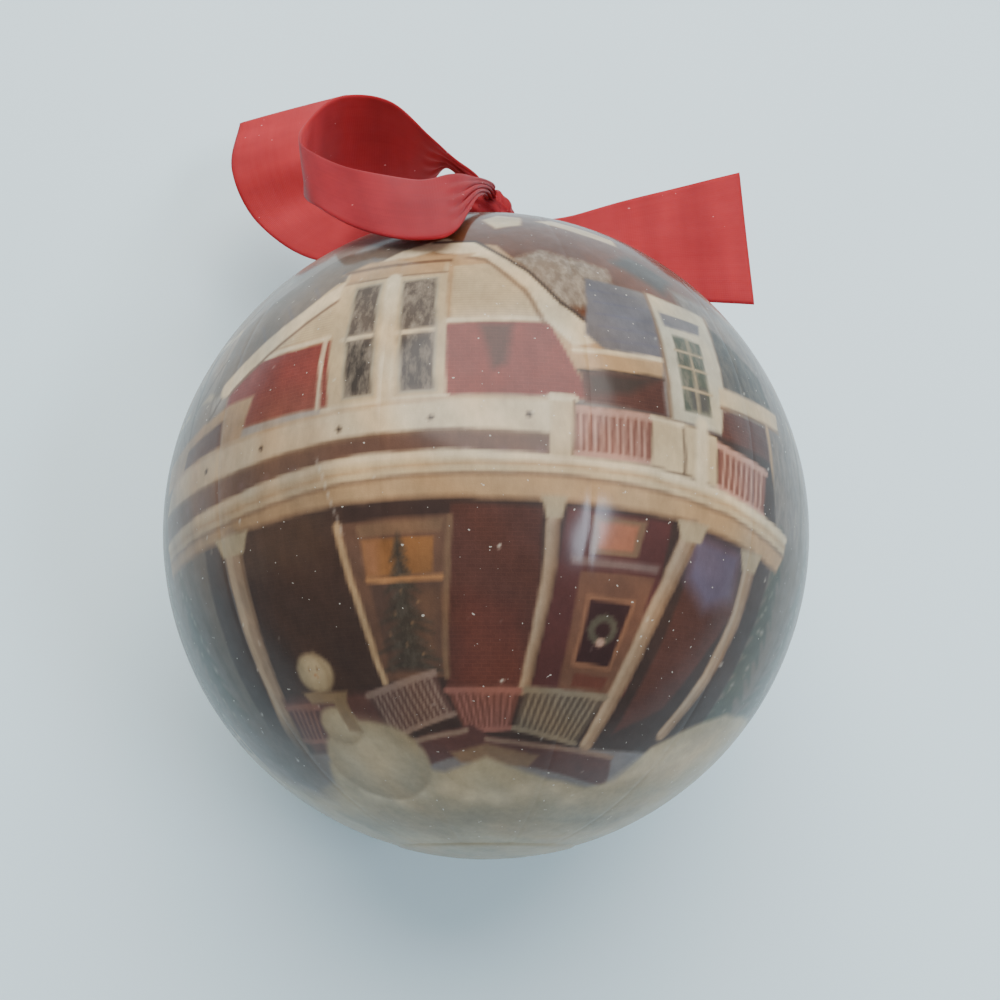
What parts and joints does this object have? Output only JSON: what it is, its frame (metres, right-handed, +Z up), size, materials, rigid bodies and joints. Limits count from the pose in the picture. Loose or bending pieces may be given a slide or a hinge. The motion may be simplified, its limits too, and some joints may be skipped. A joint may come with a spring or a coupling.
{
  "type": "christmas ball ornament",
  "caption": "Hollow paper-covered ball ornament with a painted winter house, tied at one pole with a satin ribbon loop and tails.",
  "frame": {"origin": "top pole of the ball, where the ribbon comes out of it", "axes": "+Y along the ball's axis, out of the top pole and along the ribbon; +Z up, the painted house's front faces it, with the ornament lying on its back; +X to the right of the house"},
  "size_m": [0.075, 0.1122, 0.075],
  "materials": {
    "papier_mache": "raw, matte",
    "printed_paper": "printed, glossy clear varnish",
    "pole_paper": "printed, glossy clear varnish",
    "washer_card": "matte",
    "satin_ribbon": "satin weave"
  },
  "bodies": {
    "ball": {"upper_half_shell": "papier_mache", "lower_half_shell": "papier_mache", "inner_joint_ring": "papier_mache", "paper_gore_01": "printed_paper", "paper_gore_02": "printed_paper", "paper_gore_03": "printed_paper", "paper_gore_04": "printed_paper", "paper_gore_05": "printed_paper", "paper_gore_06": "printed_paper", "paper_gore_07": "printed_paper", "paper_gore_08": "printed_paper", "paper_gore_09": "printed_paper", "paper_gore_10": "printed_paper", "paper_gore_11": "printed_paper", "paper_gore_12": "printed_paper", "top_pole_patch": "pole_paper", "bottom_pole_patch": "pole_paper"},
    "hanger": {"stopper_washer": "washer_card", "inner_knot": "satin_ribbon", "ribbon_neck": "satin_ribbon", "outer_knot": "satin_ribbon"},
    "loop": {"ribbon_loop": "satin_ribbon"},
    "left_tail": {"ribbon_left_tail": "satin_ribbon"},
    "right_tail": {"ribbon_right_tail": "satin_ribbon"}
  },
  "joints": [
    {"name": "hanger_swivel", "type": "hinge", "parent": "ball", "child": "hanger", "pos_m": [0, 0, 0], "axis": [0, 1, 0], "continuous": true},
    {"name": "loop_swing", "type": "hinge", "parent": "hanger", "child": "loop", "pos_m": [0, 0.0055, 0], "axis": [0, 0, -1], "range_deg": [0, 70]},
    {"name": "left_tail_swing", "type": "hinge", "parent": "hanger", "child": "left_tail", "pos_m": [0, 0.0055, 0], "axis": [0, -1, 0], "range_deg": [0, 35]},
    {"name": "right_tail_swing", "type": "hinge", "parent": "hanger", "child": "right_tail", "pos_m": [0, 0.0055, 0], "axis": [0, 1, 0], "range_deg": [-35, 35]}
  ]
}
